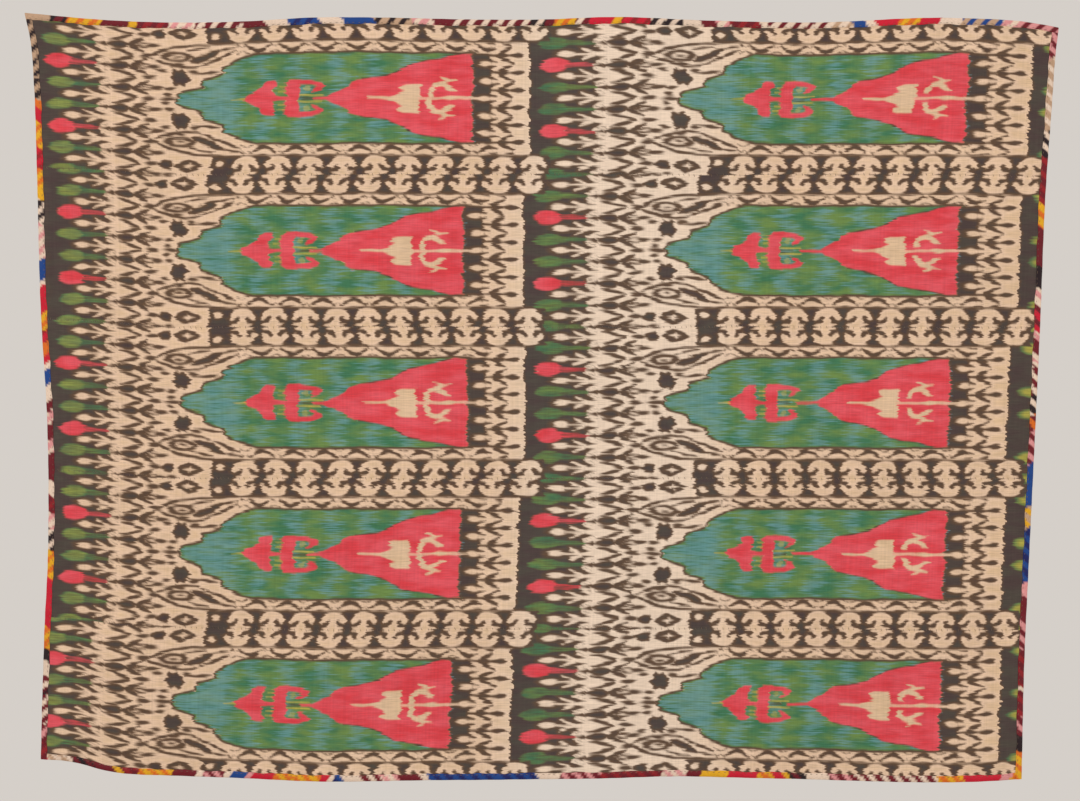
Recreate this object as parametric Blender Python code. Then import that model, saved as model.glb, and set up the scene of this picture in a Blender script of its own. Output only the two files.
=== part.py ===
"""Ikat wall hanging: five loom widths sewn selvedge to selvedge, bound along all four edges.

Metres, +Z up. The face looks towards -Y, and the origin is the middle of the top edge,
where the cloth is held. The ikat threads run across the hanging, along X.
"""

import math

import bmesh
import bpy
import numpy as np

# The cloth laid flat
CUT_LENGTH = 2.060  # along the ikat threads, across the hanging
LOOM_WIDTHS = (0.309, 0.305, 0.303, 0.301, 0.300)  # top panel first
CLOTH_THICK = 0.0012
BINDING_WIDTH = 0.0125
BINDING_THICK = 0.0010
FOLD_ROUND = 0.0012  # how far in the binding's fold is rounded off
GAP = 0.0003  # between any two pieces
DROP = sum(LOOM_WIDTHS)
FOLD = BINDING_THICK + GAP  # how far inside its binding's outer edge the cloth ends

# Where the side edges hang: how far down, and how far the left and right edges stand from the middle
SIDE_EDGES = {
    "down": (0.00, 0.04, 0.09, 0.22, 0.40, 0.53, 0.71, 0.84, 1.00),
    "left": (-1.033, -1.021, -1.0155, -1.009, -1.0015, -0.990, -0.988, -0.996, -1.001),
    "right": (1.033, 1.027, 1.0225, 1.009, 0.998, 0.989, 0.976, 0.967, 0.960),
}

# How far level lines of the cloth rise at its top edge, halfway down and at its hem, at stations across it
LEVELS = {
    "across": (0.00, 0.03, 0.07, 0.14, 0.21, 0.28, 0.34, 0.43, 0.50, 0.57, 0.66, 0.76, 0.90, 0.97, 1.00),
    "top": (0.014, 0.008, 0.001, -0.005, -0.003, 0.005, 0.005, 0.001, 0.001, 0.006, -0.001, -0.005, 0.004,
            -0.005, -0.016),
    "middle": (0.016, 0.013, 0.0085, 0.0, 0.0, 0.0, 0.0, 0.0, 0.0, 0.0, 0.0, 0.0, -0.001, -0.001, -0.002),
    "hem": (0.040, 0.035, 0.016, 0.007, 0.002, -0.004, -0.004, -0.003, -0.001, 0.001, 0.006, 0.001,
            -0.007, -0.004, 0.000),
}
TOP_FADE = 0.10  # share of the drop over which the top edge's unevenness dies away
HEM_GROWTH = 5  # power that sets how late the hem's unevenness comes in

# Soft vertical waves: count across the cloth, turn at the left edge, how far it leans, depth at the hem
WAVES = {
    "count": (2.3, 5.1, 8.7),
    "turn": (0.4, 2.1, 4.0),
    "lean": (0.9, -0.7, 1.6),
    "depth": (0.0060, 0.0030, 0.0012),
}

# Drag creases: a line from one point to another across the cloth, its half width and its height
CREASES = {
    "from_x": (-1.01, -1.00, 1.00, 1.02, -0.20),
    "from_z": (-1.18, -1.36, -0.04, -0.20, -0.02),
    "to_x": (-0.66, -0.70, 0.74, 0.80, -0.28),
    "to_z": (-1.40, -1.50, -0.10, -0.44, -0.60),
    "half_width": (0.046, 0.040, 0.036, 0.040, 0.060),
    "height": (0.0060, 0.0040, 0.0045, 0.0030, 0.0030),
}

# Corners that come forward off the wall: where, how wide the lift spreads, how far it comes
CORNER_LIFTS = {
    "x": (-1.00, 1.03, 0.96, -1.03),
    "z": (-1.48, -0.02, -1.51, 0.01),
    "spread": (0.16, 0.10, 0.14, 0.09),
    "lift": (0.010, 0.006, 0.006, 0.003),
}

COLUMNS = 50  # mesh cells across a panel, between the bindings
ROWS = 7  # mesh cells down a panel

# Mean colours of the cloth and of the four bindings
CLOTH = (0.36, 0.29, 0.20)
MAROON = (0.25, 0.02, 0.03)
YELLOW = (0.45, 0.25, 0.03)
RED = (0.50, 0.02, 0.05)
BLUE = (0.03, 0.06, 0.30)
CLOTH_ROUGHNESS = 0.85
BINDING_ROUGHNESS = 0.8


def through(table, column, at):
    """Smooth curve through a table's column: cubic pieces whose slopes are the neighbours' mean slope."""
    keys = list(table)
    xs = np.array(table[keys[0]])
    ys = np.array(table[column])
    slopes = np.gradient(ys, xs)
    at = np.clip(at, xs[0], xs[-1])
    i = np.clip(np.searchsorted(xs, at, side="right") - 1, 0, len(xs) - 2)
    step = xs[i + 1] - xs[i]
    t = (at - xs[i]) / step
    rise = ys[i] * (2 * t**3 - 3 * t**2 + 1) + ys[i + 1] * (3 * t**2 - 2 * t**3)
    bend = slopes[i] * (t**3 - 2 * t**2 + t) + slopes[i + 1] * (t**3 - t**2)
    return rise + bend * step


def hanging_place(flat_x, flat_down):
    """World X and Z of a point of the flat cloth, from its left edge and its top edge."""
    across = flat_x / CUT_LENGTH
    down = flat_down / DROP
    left = through(SIDE_EDGES, "left", down)
    right = through(SIDE_EDGES, "right", down)
    near_top = np.exp(-down / TOP_FADE)
    near_hem = down**HEM_GROWTH
    rise = near_top * through(LEVELS, "top", across) + near_hem * through(LEVELS, "hem", across)
    rise = rise + (1 - near_top - near_hem) * through(LEVELS, "middle", across)
    return left + across * (right - left), rise - flat_down


def drape(x, z):
    """World Y of the cloth's middle: waves that deepen downwards, drag creases and lifted corners."""
    down = np.clip(-z / DROP, 0, 1)
    across = x / CUT_LENGTH + 0.5
    y = np.zeros_like(x + z)
    for count, turn, lean, depth in zip(*WAVES.values()):
        y = y + depth * down**0.8 * np.sin(2 * math.pi * count * across + turn + lean * down)
    for x0, z0, x1, z1, half_width, height in zip(*CREASES.values()):
        length = math.hypot(x1 - x0, z1 - z0)
        along = ((x - x0) * (x1 - x0) + (z - z0) * (z1 - z0)) / length**2
        aside = ((x - x0) * (z1 - z0) - (z - z0) * (x1 - x0)) / length
        ends = np.exp(-((2 * along - 1) ** 4))
        y = y - height * ends * np.exp(-((aside / half_width) ** 2))
    for x0, z0, spread, lift in zip(*CORNER_LIFTS.values()):
        y = y - lift * np.exp(-((x - x0) ** 2 + (z - z0) ** 2) / spread**2)
    return y


def add_object(name, points, faces, colour, roughness):
    """One closed mesh as a named object with its own material."""
    mesh = bpy.data.meshes.new(name)
    bm = bmesh.new()
    made = [bm.verts.new(point) for point in points]
    for face in faces:
        bm.faces.new([made[i] for i in face])
    bmesh.ops.recalc_face_normals(bm, faces=bm.faces)
    bm.to_mesh(mesh)
    bm.free()
    mesh.shade_smooth()
    mesh.set_sharp_from_angle(angle=math.radians(40))
    material = bpy.data.materials.new(name)
    material.use_nodes = True
    shader = material.node_tree.nodes["Principled BSDF"]
    shader.inputs["Base Color"].default_value = (*colour, 1)
    shader.inputs["Roughness"].default_value = roughness
    shader.inputs["Metallic"].default_value = 0
    mesh.materials.append(material)
    bpy.context.scene.collection.objects.link(bpy.data.objects.new(name, mesh))


def sweep(name, rings, end_faces, colour, roughness):
    """Rings of points joined one to the next, with flat faces closing the first and the last."""
    count = len(rings[0])
    points = [tuple(point) for ring in rings for point in ring]
    faces = []
    for ring in range(len(rings) - 1):
        for i in range(count):
            j = (i + 1) % count
            a = ring * count
            b = a + count
            faces.append((a + i, a + j, b + j, b + i))
    last = (len(rings) - 1) * count
    for face in end_faces:
        faces.append(face)
        faces.append(tuple(last + i for i in reversed(face)))
    add_object(name, points, faces, colour, roughness)


def section_points(flat_x, flat_down, off):
    """Points of the hanging cloth, each moved off its middle towards the back by its own amount."""
    x, z = hanging_place(np.asarray(flat_x), np.asarray(flat_down))
    return np.stack([x, drape(x, z) + off, z], axis=-1)


def across_stations(first, last):
    """Flat X of the mesh lines across the cloth, with one along each side binding's inner edge."""
    inner = np.linspace(BINDING_WIDTH, CUT_LENGTH - BINDING_WIDTH, COLUMNS + 1)
    return np.concatenate([[first], inner, [last]])


def down_stations(number):
    """Flat distances of one panel's mesh lines below the top edge, with one along a binding's inner edge."""
    top = sum(LOOM_WIDTHS[: number - 1]) + GAP / 2
    bottom = sum(LOOM_WIDTHS[:number]) - GAP / 2
    if number == 1:
        return np.concatenate([[FOLD], np.linspace(BINDING_WIDTH, bottom, ROWS)])
    if number == len(LOOM_WIDTHS):
        return np.concatenate([np.linspace(top, DROP - BINDING_WIDTH, ROWS), [DROP - FOLD]])
    return np.linspace(top, bottom, ROWS + 1)


def make_panel(number):
    """One loom width: a thin closed sheet, swept across the hanging."""
    downs = down_stations(number)
    stations = across_stations(FOLD, CUT_LENGTH - FOLD)
    half = CLOTH_THICK / 2
    ring_downs = np.concatenate([downs, downs[::-1]])
    ring_offs = np.concatenate([np.full(len(downs), -half), np.full(len(downs), half)])
    rings = [section_points(np.full(len(ring_downs), x), ring_downs, ring_offs) for x in stations]
    n = len(downs)
    caps = [(i, i + 1, 2 * n - 2 - i, 2 * n - 1 - i) for i in range(n - 1)]
    sweep(f"panel_{number}", rings, caps, CLOTH, CLOTH_ROUGHNESS)


def binding_section():
    """The folded strip's outline: how far in from the cloth's edge, and how far off its middle."""
    inside = CLOTH_THICK / 2 + GAP
    outside = inside + BINDING_THICK
    return (
        (BINDING_WIDTH, -outside),
        (FOLD_ROUND, -outside),
        (0.0, -inside),
        (0.0, inside),
        (FOLD_ROUND, outside),
        (BINDING_WIDTH, outside),
        (BINDING_WIDTH, inside),
        (BINDING_THICK, inside),
        (BINDING_THICK, -inside),
        (BINDING_WIDTH, -inside),
    )


BINDING_CAPS = ((0, 1, 8, 9), (1, 2, 8), (2, 3, 7, 8), (3, 4, 7), (4, 5, 6, 7))


def make_binding(name, edge, stations, colour):
    """A strip folded over one edge of the cloth. edge gives flat X and down from a station and an inset."""
    section = binding_section()
    offs = np.array([off for _, off in section])
    rings = []
    for station in stations:
        flat = [edge(station, inset) for inset, _ in section]
        rings.append(section_points([x for x, _ in flat], [d for _, d in flat], offs))
    sweep(name, rings, BINDING_CAPS, colour, BINDING_ROUGHNESS)


def make_bindings():
    """Top strip from corner to corner, side strips below it, hem strip between the sides."""
    beside = BINDING_WIDTH + GAP
    level = across_stations(0, CUT_LENGTH)
    between = np.concatenate([[beside], level[2:-2], [CUT_LENGTH - beside]])
    upright = np.concatenate([down_stations(n + 1)[:-1] for n in range(len(LOOM_WIDTHS))])
    upright = np.concatenate([[beside], upright[2:], [DROP]])
    make_binding("binding_top", lambda x, inset: (x, inset), level, MAROON)
    make_binding("binding_bottom", lambda x, inset: (x, DROP - inset), between, YELLOW)
    make_binding("binding_left", lambda down, inset: (inset, down), upright, RED)
    make_binding("binding_right", lambda down, inset: (CUT_LENGTH - inset, down), upright, BLUE)


for old in list(bpy.data.objects):
    bpy.data.objects.remove(old, do_unlink=True)

for panel in range(len(LOOM_WIDTHS)):
    make_panel(panel + 1)
make_bindings()
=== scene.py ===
import math

import bpy
import numpy as np
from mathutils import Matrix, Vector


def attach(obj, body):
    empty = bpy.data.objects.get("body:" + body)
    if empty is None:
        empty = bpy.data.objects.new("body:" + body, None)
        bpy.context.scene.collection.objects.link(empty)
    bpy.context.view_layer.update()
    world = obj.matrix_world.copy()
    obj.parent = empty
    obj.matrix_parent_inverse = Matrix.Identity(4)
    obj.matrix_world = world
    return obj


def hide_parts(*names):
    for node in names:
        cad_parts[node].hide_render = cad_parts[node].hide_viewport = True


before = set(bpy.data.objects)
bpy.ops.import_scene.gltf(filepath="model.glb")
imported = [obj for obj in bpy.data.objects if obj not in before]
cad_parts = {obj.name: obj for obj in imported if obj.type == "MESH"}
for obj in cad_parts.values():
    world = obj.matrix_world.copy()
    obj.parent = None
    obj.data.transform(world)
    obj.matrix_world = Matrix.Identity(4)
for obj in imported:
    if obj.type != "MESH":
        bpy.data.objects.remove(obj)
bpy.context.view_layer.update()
print("frame loaded:", len(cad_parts), "nodes")


# How the hanging hangs: the same formulas as its solids have

hanging = {
    "cutLength": 2.060,  # along the warp
    "loomWidths": (0.309, 0.305, 0.303, 0.301, 0.300),  # top panel first
    "clothThick": 0.0008,
    "gap": 0.0003,
    "bindingWidth": 0.0125,
    "bindingThick": 0.0009,
    "topFade": 0.10,  # share of the drop over which the top edge's unevenness dies away
    "hemGrowth": 5,  # how late the hem's unevenness comes in
    "waveGrowth": 0.8,
}
drop = sum(hanging["loomWidths"])
seams = np.cumsum(hanging["loomWidths"])[:-1]
tucked = hanging["bindingThick"] + 2 * hanging["gap"]  # how far inside its binding's edge the cloth ends

sideEdges = {
    "down": (0.00, 0.04, 0.09, 0.22, 0.40, 0.53, 0.71, 0.84, 1.00),
    "left": (-1.033, -1.021, -1.0155, -1.009, -1.0015, -0.990, -0.988, -0.996, -1.001),
    "right": (1.033, 1.027, 1.0225, 1.009, 0.998, 0.989, 0.976, 0.967, 0.960),
}
levels = {
    "across": (0.00, 0.03, 0.07, 0.14, 0.21, 0.28, 0.34, 0.43, 0.50, 0.57, 0.66, 0.76, 0.90, 0.97, 1.00),
    "top": (0.014, 0.008, 0.001, -0.005, -0.003, 0.005, 0.005, 0.001, 0.001, 0.006, -0.001, -0.005, 0.004,
            -0.005, -0.016),
    "middle": (0.016, 0.013, 0.0085, 0.0, 0.0, 0.0, 0.0, 0.0, 0.0, 0.0, 0.0, 0.0, -0.001, -0.001, -0.002),
    "hem": (0.040, 0.035, 0.016, 0.007, 0.002, -0.004, -0.004, -0.003, -0.001, 0.001, 0.006, 0.001,
            -0.007, -0.004, 0.000),
}
waves = {
    "count": (2.3, 5.1, 8.7),
    "turn": (0.4, 2.1, 4.0),
    "lean": (0.9, -0.7, 1.6),
    "depth": (0.0060, 0.0030, 0.0012),
}
creases = {
    "fromX": (-1.01, -1.00, 1.00, 1.02, -0.20),
    "fromZ": (-1.18, -1.36, -0.04, -0.20, -0.02),
    "toX": (-0.66, -0.70, 0.74, 0.80, -0.28),
    "toZ": (-1.40, -1.50, -0.10, -0.44, -0.60),
    "halfWidth": (0.046, 0.040, 0.036, 0.040, 0.060),
    "height": (0.0060, 0.0040, 0.0045, 0.0030, 0.0030),
}
cornerLifts = {
    "x": (-1.00, 1.03, 0.96, -1.03),
    "z": (-1.48, -0.02, -1.51, 0.01),
    "spread": (0.16, 0.10, 0.14, 0.09),
    "lift": (0.010, 0.006, 0.006, 0.003),
}


def through(table, column, at):
    # Smooth curve through a table's column: cubic pieces whose slopes are the neighbours' mean slope
    keys = list(table)
    xs, ys = np.array(table[keys[0]]), np.array(table[column])
    slopes = np.gradient(ys, xs)
    at = np.clip(at, xs[0], xs[-1])
    i = np.clip(np.searchsorted(xs, at, side="right") - 1, 0, len(xs) - 2)
    step = xs[i + 1] - xs[i]
    t = (at - xs[i]) / step
    rise = ys[i] * (2 * t**3 - 3 * t**2 + 1) + ys[i + 1] * (3 * t**2 - 2 * t**3)
    return rise + (slopes[i] * (t**3 - 2 * t**2 + t) + slopes[i + 1] * (t**3 - t**2)) * step


def hangingPlace(flatX, flatDown):
    # Across: a share of the way from the left edge to the right. Down: the flat distance, raised or dropped
    # by the top's, the middle's and the hem's own unevenness
    across, down = flatX / hanging["cutLength"], flatDown / drop
    left, right = through(sideEdges, "left", down), through(sideEdges, "right", down)
    nearTop = np.exp(-down / hanging["topFade"])
    nearHem = down ** hanging["hemGrowth"]
    rise = nearTop * through(levels, "top", across) + nearHem * through(levels, "hem", across)
    rise = rise + (1 - nearTop - nearHem) * through(levels, "middle", across)
    return left + across * (right - left), rise - flatDown


def ridge(x, z, x0, z0, x1, z1, halfWidth):
    # A soft ridge along the line between two points: a bell across it, squared-off ends along it
    length = math.hypot(x1 - x0, z1 - z0)
    along = ((x - x0) * (x1 - x0) + (z - z0) * (z1 - z0)) / length**2
    aside = ((x - x0) * (z1 - z0) - (z - z0) * (x1 - x0)) / length
    return np.exp(-((2 * along - 1) ** 4)) * np.exp(-((aside / halfWidth) ** 2))


def drape(x, z):
    # Waves that deepen downwards, drag creases from the corners, and corners that come forward
    down = np.clip(-z / drop, 0, 1)
    across = x / hanging["cutLength"] + 0.5
    y = np.zeros_like(x + z)
    for count, turn, lean, depth in zip(*waves.values()):
        phase = 2 * math.pi * count * across + turn + lean * down
        y = y + depth * down ** hanging["waveGrowth"] * np.sin(phase)
    for x0, z0, x1, z1, halfWidth, height in zip(*creases.values()):
        y = y - height * ridge(x, z, x0, z0, x1, z1, halfWidth)
    for x0, z0, spread, lift in zip(*cornerLifts.values()):
        y = y - lift * np.exp(-((x - x0) ** 2 + (z - z0) ** 2) / spread**2)
    return y


# Low relief that the solids leave out: puckered seams and bindings, and small creases listed one by one

relief = {
    "seamDip": 0.0010,
    "seamHalf": 0.006,
    "puckerDepth": 0.0006,
    "puckerPitch": 0.043,
    "puckerReach": 0.030,
    "puckerStray": (1.7, 0.37),  # radians that a pucker strays from its pitch, and metres for one stray
    "edgeDepth": 0.0010,
    "edgePitch": 0.056,
    "edgeReach": 0.034,
    "edgeStray": (2.0, 7.0),  # radians that a ripple strays, and radians of straying in a metre
}
smallCreases = {
    "fromX": (-0.99, -0.97, -0.90, -0.60, -0.31, 0.02, 0.05, 0.33, 0.58, 0.80, 0.97, 0.96, -0.05,
              0.45, -0.75),
    "fromZ": (-0.62, -0.90, -1.44, -0.02, -0.85, -0.01, -0.95, -0.33, -1.50, -0.93, -0.62, -1.08, -1.50,
              -0.02, -0.30),
    "toX": (-0.80, -0.72, -0.55, -0.57, -0.28, 0.00, 0.08, 0.37, 0.52, 0.62, 0.78, 0.80, -0.02, 0.50, -0.70),
    "toZ": (-0.74, -1.10, -1.50, -0.36, -1.25, -0.46, -1.42, -0.76, -1.12, -1.30, -0.78, -1.36, -1.08,
            -0.24, -0.66),
    "halfWidth": (0.014, 0.018, 0.013, 0.016, 0.020, 0.014, 0.018, 0.022, 0.016, 0.020, 0.013, 0.016, 0.018,
                  0.012, 0.020),
    "height": (0.0012, 0.0014, 0.0011, -0.0009, 0.0010, -0.0012, 0.0010, -0.0010, 0.0012, 0.0009, 0.0013,
               0.0011, -0.0008, 0.0010, 0.0010),
}


def clothY(flatX, flatDown, x, z):
    # The drape, dipped along each seam, rippled beside the seams and the bound edges, and lightly creased
    y = drape(x, z)
    stray, length = relief["puckerStray"]
    for number, seam in enumerate(seams):
        off = flatDown - seam
        y = y + relief["seamDip"] * np.exp(-((off / relief["seamHalf"]) ** 2))
        turn = 2 * math.pi * flatX / length + number
        phase = 2 * math.pi * flatX / relief["puckerPitch"] + stray * np.sin(turn)
        y = y + relief["puckerDepth"] * np.exp(-((off / relief["puckerReach"]) ** 2)) * np.sin(phase)
    fromSide = np.minimum(flatX, hanging["cutLength"] - flatX)
    fromEdge = np.minimum(fromSide, np.minimum(flatDown, drop - flatDown))
    stray, bend = relief["edgeStray"]
    phase = 2 * math.pi * (flatX - flatDown) / relief["edgePitch"] + stray * np.sin(bend * (flatX + flatDown))
    y = y + relief["edgeDepth"] * np.exp(-((fromEdge / relief["edgeReach"]) ** 2)) * np.sin(phase)
    for x0, z0, x1, z1, halfWidth, height in zip(*smallCreases.values()):
        y = y - height * ridge(x, z, x0, z0, x1, z1, halfWidth)
    return y


def place(flatX, flatDown, off=0.0):
    # World points of the flat cloth's points, each moved off its middle towards the back
    x, z = hangingPlace(flatX, flatDown)
    return np.stack([x, clothY(flatX, flatDown, x, z) + off, z], axis=-1)


# Shapes of the pattern, in millimetres on the flat cloth: along the warp, and aside from the niche's axis.
# Each gives a signed distance, positive inside

outside = 1e3  # farther than any shape reaches


def oval(along, aside, atAlong, atAside, halfAlong, halfAside):
    # One less the distance in half sizes, times the smaller half
    far = np.hypot((along - atAlong) / halfAlong, (aside - atAside) / halfAside)
    return (1 - far) * min(halfAlong, halfAside)


def stroke(along, aside, points):
    # A brush line through points (along, aside, half width): the half width at the nearest point of each
    # segment, less the distance to it
    best = np.full(along.shape, -outside)
    for (a0, s0, w0), (a1, s1, w1) in zip(points, points[1:]):
        da, ds = a1 - a0, s1 - s0
        t = np.clip(((along - a0) * da + (aside - s0) * ds) / (da * da + ds * ds), 0, 1)
        best = np.maximum(best, w0 + t * (w1 - w0) - np.hypot(along - a0 - t * da, aside - s0 - t * ds))
    return best


def patch(along, aside, points):
    # Distance to the nearest side of an outline, positive where a line to the right crosses it an odd
    # number of times
    near = np.full(along.shape, outside)
    inside = np.zeros(along.shape, bool)
    for (a0, s0), (a1, s1) in zip(points, points[1:] + points[:1]):
        da, ds = a1 - a0, s1 - s0
        t = np.clip(((along - a0) * da + (aside - s0) * ds) / (da * da + ds * ds), 0, 1)
        near = np.minimum(near, np.hypot(along - a0 - t * da, aside - s0 - t * ds))
        if ds:
            inside ^= ((s0 > aside) != (s1 > aside)) & (along < a0 + (aside - s0) * da / ds)
    return np.where(inside, near, -near)


def bothSides(points):
    # An outline that starts and ends on the axis, with its mirror image added
    return points + [(a, -s) for a, s in reversed(points) if s]


def between(value, low, high):
    return np.minimum(value - low, high - value)


def folded(value, pitch):
    # Distance from the nearest of a row of lines one pitch apart, the first at zero
    return np.abs((value + pitch / 2) % pitch - pitch / 2)


layers = ("dark", "green", "blue", "red", "yellow")  # each lies over the ones before it; cream is bare cloth
lap = 4.0  # millimetres that a dye laps over or under its neighbour, so that no bare cloth shows between them


def paint(dyes, colour, field):
    # The painted dye's field rises to the shape's, and reaches a little under what lies above it. A dye above
    # falls outside the shape, and one below stays only under the shape's rim
    level = layers.index(colour) if colour in layers else -1
    if level >= 0:
        above = [dyes[name] for name in layers[level + 1 :]]
        under = np.minimum(field + lap, np.maximum.reduce(above)) if above else field
        dyes[colour] = np.maximum.reduce([dyes[colour], field, under])
    for i, name in enumerate(layers):
        if i != level:
            dyes[name] = np.minimum(dyes[name], (lap if i < level else 0) - field)


def brush(dyes, colour, along, aside, *lines, within=outside):
    # Paints strokes one after another, each kept inside a field
    for points in lines:
        paint(dyes, colour, np.minimum(stroke(along, aside, points), within))


# The repeat, charted: 954 mm from one head band to the next

repeat = {
    "length": 954.0,
    "start": -60.0,  # left edge of the dark head band, from the middle of its red ovals' line
    "earPitch": 43.6,
    "headEnd": 79.0,
    "hookPitch": 63.6,
    "hookFirst": 334.0,
    "chain": (266, 938),  # where the chain's dark ground runs
    "domes": (304, 940),
    "fans": (322, 826),
    "frame": (290, 894),
    "frameLine": 113.2,
    "frameHalf": 1.6,
    "lanePitch": 34.8,  # between the spears of the leaf column
    "footEnd": 892,
}
# Where lines of the pattern lie on each loom width, from the left edge, for its two repeats: the red ovals'
# line, the niche's tip, the end of its red, and the right edge of the cream line
placing = {
    "firstHead": (63, 77, 65, 66, 30),
    "firstTip": (296, 288, 285, 282, 277),
    "firstRed": (889, 872, 878, 866, 858),
    "firstLine": (1001, 992, 994, 984, 981),
    "secondHead": (1062, 1056, 1058, 1054, 1045),
    "secondTip": (1311, 1290, 1291, 1294, 1296),
    "secondRed": (1889, 1886, 1880, 1884, 1886),
    "secondLine": (2014, 2010, 1998, 2003, 2008),
}
placed = (0, 208, 780, 894)  # the same four lines in the chart
niche = [(206, 0), (207, 9), (213, 13), (232, 18), (250, 24), (253, 38), (271, 43), (291, 50), (295, 63),
         (316, 75), (338, 83), (356, 88), (784, 88), (784, 0)]
redField = [(488, 0), (502, 8), (514, 13), (530, 20), (540, 30), (552, 35), (590, 40), (608, 43), (630, 50),
            (642, 57), (662, 68), (690, 74), (718, 78), (738, 84), (755, 88), (780, 88), (780, 0)]
combHead = [(334, 0), (336, 7), (350, 12), (364, 21), (369, 31), (376, 35), (392, 35), (395, 26), (389, 19),
            (390, 6), (400, 4), (400, 0)]
pendant = [(572, 0), (572, 2), (614, 2.5), (625, 6), (635, 11), (643, 15), (634, 19), (635, 25), (645, 28),
           (676, 29), (674, 22), (677, 0)]


def paintHead(dyes, along, aside, nth):
    # The leaves are yellower in some heads, and the last head shows no red
    gold = np.array([-0.5, -3.0, 0.8])[nth]
    lane = folded(aside, repeat["earPitch"])  # from the nearest ear's axis
    arrow = folded(aside + repeat["earPitch"] / 2, repeat["earPitch"])  # from the nearest arrow's
    paint(dyes, "dark", between(along, repeat["start"], repeat["headEnd"]))
    for at, colour, half in ((22, "green", 11), (66, "red", 14), (109, "green", 12), (152, "green", 10)):
        away = aside - at
        seen = np.where(nth > 1, -9, 20) if colour == "red" else 20
        leaf = np.minimum(oval(along, away, -11, 0, 26, half), seen)
        tail = [(0, 0, 5.5), (30, 0, 4.2), (60, 0, 2.0)]
        brush(dyes, colour, along, away, tail, within=np.minimum(0.2, seen))
        paint(dyes, colour, np.minimum(leaf, 5 if colour == "red" else 0.7))
        if colour == "green":
            paint(dyes, "yellow", np.minimum(0.35 * leaf - 1.2, gold))
    # Ears: a bud on a stem, two pairs of barbs, and a body that tapers to a point
    paint(dyes, "cream", oval(along, lane, 12, 0, 14.5, 6.0))
    brush(dyes, "cream", along, lane,
          [(22, 0, 1.8), (42, 0, 1.6), (62, 0, 3.0), (76, 0, 5.0), (92, 0, 8.5), (108, 0, 9.5)],
          [(36, 11.5, 1.5), (46, 7, 2.5), (60, 1.5, 2.4)],
          [(60, 15.5, 1.6), (70, 11, 2.7), (86, 5, 2.6)])
    # Arrows: a cream notch behind a solid head, then a stem, a pair of barbs and a leaf
    brush(dyes, "cream", along, arrow,
          [(60, 2.5, 1.2), (69, 5, 2.6), (79, 8.5, 2.8), (89, 11.5, 2.4), (97, 13, 1.6)])
    head = [(76, 0), (80, 2.5), (90, 6), (97, 8), (107, 8.5), (113, 7), (118, 3), (118, 0)]
    paint(dyes, "dark", patch(along, arrow, bothSides(head)))
    brush(dyes, "dark", along, arrow,
          [(112, 0, 3.0), (130, 0, 3.2)],
          [(122, 1, 3.8), (134, 7, 4.6), (148, 13.5, 2.0)],
          [(86, 9.5, 1.4), (100, 11.5, 3.4), (114, 16, 3.8), (128, 20.5, 2.4)],
          [(130, 0, 1.8), (144, 4, 2.4), (156, 5, 1.0)])
    paint(dyes, "dark", oval(along, arrow, 163, 0, 14, 4.4))
    paint(dyes, "dark", oval(along, lane, 152, 0, 13, 4.6))


def paintShoulder(dyes, along, aside):
    # Between the ears and the niche: a notched flower, small leaves and the almond with its eye
    flower = [(189, 41), (193, 34), (197, 26), (206, 30), (214, 25), (221, 33), (227, 42), (221, 50),
              (215, 62), (206, 58), (198, 63), (193, 50)]
    paint(dyes, "dark", patch(along, aside, flower))
    for a, s, half in ((184, 9, 8), (188, 21, 9), (190, 0, 18), (206, 70, 11), (234, 57, 10), (178, 57, 9)):
        paint(dyes, "dark", oval(along, aside, a, s, half, 3.9))
    brush(dyes, "dark", along, aside,
          [(146, 79, 1.2), (165, 90, 3.2), (182, 99, 3.4), (200, 105, 3.0), (240, 111, 2.6),
           (300, 113.4, 2.2), (334, 113.4, 1.8)],
          [(158, 82, 1.2), (176, 75, 3.4), (196, 69, 3.1), (222, 65, 2.6), (244, 67, 2.4), (262, 73, 1.4)])
    paint(dyes, "dark", 3.0 - np.abs(oval(along, aside, 206, 86, 22, 8.4)))
    paint(dyes, "dark", oval(along, aside, 206, 85, 8, 2.4))
    brush(dyes, "dark", along, aside,
          [(230, 76, 2.2), (242, 80, 6.4), (262, 88, 8.6), (276, 95, 6.4), (290, 101, 2.2)])
    brush(dyes, "cream", along, aside, [(238, 86, 0.6), (262, 95, 1.2)])
    brush(dyes, "dark", along, aside,
          [(222, 97, 1.2), (246, 103, 2.8), (268, 106, 1.6)],
          [(256, 73, 1.2), (284, 82, 3.2), (306, 93, 3.6), (320, 98, 1.4)],
          [(286, 99, 1.2), (302, 103, 3.0), (318, 105, 1.6)],
          [(228, 52, 1.2), (252, 53, 2.4), (266, 55, 3.8), (284, 57, 1.4)])
    # Beside the seam: a blob, a star in a dark lozenge, and a leaf
    blob = [(160, 133), (174, 123), (188, 124), (190, 134), (187, 143), (174, 141)]
    lozenge = [(194, 134), (205, 125), (220, 119.5), (236, 125), (252, 134), (236, 143), (220, 148.5),
               (205, 143)]
    for outline in (blob, lozenge):
        paint(dyes, "dark", patch(along, aside, outline))
    paint(dyes, "cream", oval(along, aside, 222, 134, 9, 2.5))
    paint(dyes, "cream", oval(along, aside, 223, 134, 3.4, 5.6))
    paint(dyes, "dark", oval(along, aside, 186, 151, 11, 3.2))


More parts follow.
